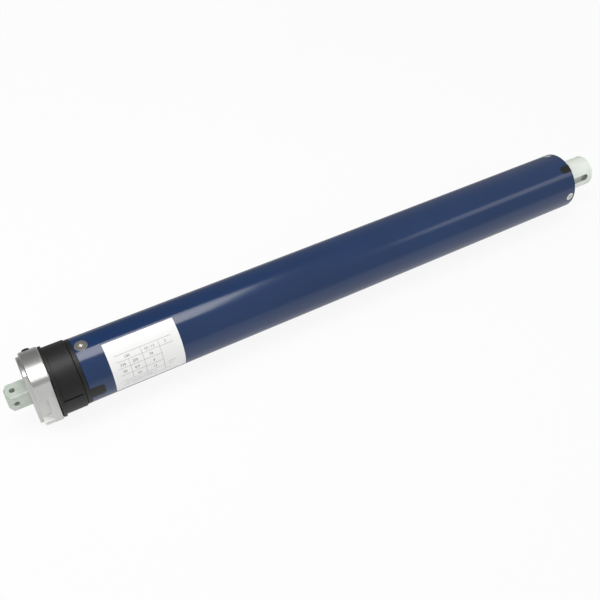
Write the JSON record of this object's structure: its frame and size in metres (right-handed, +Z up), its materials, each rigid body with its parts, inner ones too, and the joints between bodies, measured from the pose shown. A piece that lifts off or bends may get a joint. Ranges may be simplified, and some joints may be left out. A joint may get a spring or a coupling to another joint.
{
  "type": "tubular roller blind motor",
  "caption": "Long round blue tube motor for a roller blind, with a square fixing bar and black drive ring at its head and a keyed output shaft at its far end.",
  "frame": {"origin": "on the motor's axis, in the plane of the head's end face that the square fixing bar stands out of", "axes": "+X along the motor's axis from the head to the output shaft, +Z up, -Y towards the flat and the cable recess of the head"},
  "size_m": [0.6452, 0.0653, 0.0662],
  "materials": {
    "zinc_bar": "pale green zinc passivation",
    "cast_aluminium": "satin, as cast and machined",
    "black_plastic": "moulded, fine grain",
    "tube_paint": "navy blue, satin",
    "label_white": "white film with a ruled table",
    "screw_steel": "zinc plated",
    "bright_steel": "bright",
    "shaft_steel": "pale zinc passivation",
    "button_rubber": "smooth",
    "seal_rubber": "smooth",
    "gear_plastic": "natural acetal",
    "gear_steel": "sintered",
    "switch_plastic": "dark red moulding",
    "spring_steel": "bright",
    "terminal_plastic": "pale grey moulding",
    "capacitor_case": "smooth moulding",
    "lamination": "stacked sheet",
    "winding_copper": "enamelled copper wire",
    "brake_lining": "pressed friction lining"
  },
  "bodies": {
    "motor_body": {"fixing_shaft": "zinc_bar", "bar_washer": "bright_steel", "bar_nut": "bright_steel", "head_casting": "cast_aluminium", "head_screws": "bright_steel", "cable_grommet": "seal_rubber", "limit_housing": "black_plastic", "cam_spindle": "bright_steel", "limit_switches": "switch_plastic", "limit_end_plate": "black_plastic", "terminal_block": "terminal_plastic", "head_tube_screws": "screw_steel", "tube": "tube_paint", "rating_label": "label_white", "capacitor": "capacitor_case", "capacitor_holders": "black_plastic", "brake_housing": "cast_aluminium", "brake_pot": "lamination", "brake_coil": "winding_copper", "brake_spring": "spring_steel", "brake_counter_plate": "bright_steel", "rear_end_shield": "cast_aluminium", "front_end_shield": "cast_aluminium", "rotor_bearings": "bright_steel", "stator_core": "lamination", "stator_windings": "winding_copper", "thermal_protector": "switch_plastic", "gearbox_housing": "gear_steel", "output_bearings": "bright_steel", "gearbox_end_cap": "black_plastic", "shaft_seal": "seal_rubber", "gearbox_tube_screws": "bright_steel"},
    "crown": {"crown_ring": "black_plastic"},
    "pinion": {"counter_pinion": "gear_plastic"},
    "idler": {"counter_idler": "gear_plastic"},
    "layshaft": {"counter_layshaft": "gear_plastic"},
    "cam_up": {"cam_wheel_up": "gear_plastic"},
    "cam_down": {"cam_wheel_down": "gear_plastic"},
    "lever_up": {"switch_lever_up": "spring_steel"},
    "lever_down": {"switch_lever_down": "spring_steel"},
    "button_upper": {"limit_button_upper": "button_rubber"},
    "button_lower": {"limit_button_lower": "button_rubber"},
    "armature": {"brake_armature": "gear_steel"},
    "output": {"output_carrier": "gear_steel", "output_shaft": "shaft_steel"},
    "carrier_2": {"stage_2_carrier": "gear_steel"},
    "carrier_1": {"stage_1_carrier": "gear_steel"},
    "rotor": {"rotor_shaft": "bright_steel", "rotor_core": "lamination", "brake_disc": "brake_lining", "stage_1_sun": "gear_steel"},
    "stage_1_planet_1": {"stage_1_planet_1": "gear_plastic"},
    "stage_1_planet_2": {"stage_1_planet_2": "gear_plastic"},
    "stage_1_planet_3": {"stage_1_planet_3": "gear_plastic"},
    "stage_2_planet_1": {"stage_2_planet_1": "gear_steel"},
    "stage_2_planet_2": {"stage_2_planet_2": "gear_steel"},
    "stage_2_planet_3": {"stage_2_planet_3": "gear_steel"},
    "stage_3_planet_1": {"stage_3_planet_1": "gear_steel"},
    "stage_3_planet_2": {"stage_3_planet_2": "gear_steel"},
    "stage_3_planet_3": {"stage_3_planet_3": "gear_steel"}
  },
  "joints": [
    {"name": "crown_spin", "type": "hinge", "parent": "motor_body", "child": "crown", "pos_m": [0.0194, 0, 0], "axis": [1, 0, 0], "continuous": true},
    {"name": "pinion_spin", "type": "hinge", "parent": "motor_body", "child": "pinion", "pos_m": [0.0243, -0.013, 0], "axis": [1, 0, 0], "continuous": true},
    {"name": "idler_spin", "type": "hinge", "parent": "motor_body", "child": "idler", "pos_m": [0.0461, 0.001, 0], "axis": [1, 0, 0], "continuous": true},
    {"name": "layshaft_spin", "type": "hinge", "parent": "motor_body", "child": "layshaft", "pos_m": [0.0495, -0.013, 0], "axis": [1, 0, 0], "continuous": true},
    {"name": "cam_up_spin", "type": "hinge", "parent": "motor_body", "child": "cam_up", "pos_m": [0.0533, 0.001, 0], "axis": [1, 0, 0], "continuous": true},
    {"name": "cam_down_spin", "type": "hinge", "parent": "motor_body", "child": "cam_down", "pos_m": [0.0591, 0.001, 0], "axis": [1, 0, 0], "continuous": true},
    {"name": "lever_up_swing", "type": "hinge", "parent": "motor_body", "child": "lever_up", "pos_m": [0.0548, 0.0126, -0.0092], "axis": [1, 0, 0], "range_deg": [-6.5, 0], "stiffness_Nm_per_rad": 0.002, "springref_deg": 11.46},
    {"name": "lever_down_swing", "type": "hinge", "parent": "motor_body", "child": "lever_down", "pos_m": [0.063, 0.0126, -0.0092], "axis": [1, 0, 0], "range_deg": [-6.5, 0], "stiffness_Nm_per_rad": 0.002, "springref_deg": 11.46},
    {"name": "button_upper_press", "type": "slide", "parent": "motor_body", "child": "button_upper", "axis": [0, -0.7314, -0.682], "range_m": [0, 0.0012], "stiffness_N_per_m": 1500, "springref_m": -0.001},
    {"name": "button_lower_press", "type": "slide", "parent": "motor_body", "child": "button_lower", "axis": [0, -0.7314, 0.682], "range_m": [0, 0.0012], "stiffness_N_per_m": 1500, "springref_m": -0.001},
    {"name": "armature_pull", "type": "slide", "parent": "motor_body", "child": "armature", "axis": [-1, 0, 0], "range_m": [0, 0.0006], "stiffness_N_per_m": 8000, "springref_m": -0.004, "deforming": ["brake_spring"]},
    {"name": "output_spin", "type": "hinge", "parent": "motor_body", "child": "output", "pos_m": [0.5227, 0, 0], "axis": [1, 0, 0], "continuous": true},
    {"name": "carrier_2_spin", "type": "hinge", "parent": "motor_body", "child": "carrier_2", "pos_m": [0.4762, 0, 0], "axis": [1, 0, 0], "continuous": true},
    {"name": "carrier_1_spin", "type": "hinge", "parent": "motor_body", "child": "carrier_1", "pos_m": [0.4502, 0, 0], "axis": [1, 0, 0], "continuous": true},
    {"name": "rotor_spin", "type": "hinge", "parent": "motor_body", "child": "rotor", "pos_m": [0.27163, 0, 0], "axis": [1, 0, 0], "continuous": true},
    {"name": "stage_1_planet_1_spin", "type": "hinge", "parent": "carrier_1", "child": "stage_1_planet_1", "pos_m": [0.4357, 0, 0.015], "axis": [1, 0, 0], "continuous": true},
    {"name": "stage_1_planet_2_spin", "type": "hinge", "parent": "carrier_1", "child": "stage_1_planet_2", "pos_m": [0.4357, -0.01299, -0.0075], "axis": [1, 0, 0], "continuous": true},
    {"name": "stage_1_planet_3_spin", "type": "hinge", "parent": "carrier_1", "child": "stage_1_planet_3", "pos_m": [0.4357, 0.01299, -0.0075], "axis": [1, 0, 0], "continuous": true},
    {"name": "stage_2_planet_1_spin", "type": "hinge", "parent": "carrier_2", "child": "stage_2_planet_1", "pos_m": [0.4557, 0, 0.015], "axis": [1, 0, 0], "continuous": true},
    {"name": "stage_2_planet_2_spin", "type": "hinge", "parent": "carrier_2", "child": "stage_2_planet_2", "pos_m": [0.4557, -0.01299, -0.0075], "axis": [1, 0, 0], "continuous": true},
    {"name": "stage_2_planet_3_spin", "type": "hinge", "parent": "carrier_2", "child": "stage_2_planet_3", "pos_m": [0.4557, 0.01299, -0.0075], "axis": [1, 0, 0], "continuous": true},
    {"name": "stage_3_planet_1_spin", "type": "hinge", "parent": "output", "child": "stage_3_planet_1", "pos_m": [0.4827, 0, 0.015], "axis": [1, 0, 0], "continuous": true},
    {"name": "stage_3_planet_2_spin", "type": "hinge", "parent": "output", "child": "stage_3_planet_2", "pos_m": [0.4827, -0.01299, -0.0075], "axis": [1, 0, 0], "continuous": true},
    {"name": "stage_3_planet_3_spin", "type": "hinge", "parent": "output", "child": "stage_3_planet_3", "pos_m": [0.4827, 0.01299, -0.0075], "axis": [1, 0, 0], "continuous": true}
  ],
  "couplings": [
    {"joint": "pinion_spin", "follows": "crown_spin", "ratio": 2},
    {"joint": "idler_spin", "follows": "crown_spin", "ratio": -0.54545},
    {"joint": "layshaft_spin", "follows": "crown_spin", "ratio": 0.14876},
    {"joint": "cam_up_spin", "follows": "crown_spin", "ratio": -0.040571},
    {"joint": "cam_down_spin", "follows": "crown_spin", "ratio": -0.040571},
    {"joint": "carrier_2_spin", "follows": "output_spin", "ratio": 5},
    {"joint": "carrier_1_spin", "follows": "output_spin", "ratio": 25},
    {"joint": "rotor_spin", "follows": "output_spin", "ratio": 125},
    {"joint": "stage_1_planet_1_spin", "follows": "output_spin", "ratio": -66.667},
    {"joint": "stage_1_planet_2_spin", "follows": "output_spin", "ratio": -66.667},
    {"joint": "stage_1_planet_3_spin", "follows": "output_spin", "ratio": -66.667},
    {"joint": "stage_2_planet_1_spin", "follows": "output_spin", "ratio": -13.333},
    {"joint": "stage_2_planet_2_spin", "follows": "output_spin", "ratio": -13.333},
    {"joint": "stage_2_planet_3_spin", "follows": "output_spin", "ratio": -13.333},
    {"joint": "stage_3_planet_1_spin", "follows": "output_spin", "ratio": -2.6667},
    {"joint": "stage_3_planet_2_spin", "follows": "output_spin", "ratio": -2.6667},
    {"joint": "stage_3_planet_3_spin", "follows": "output_spin", "ratio": -2.6667}
  ]
}
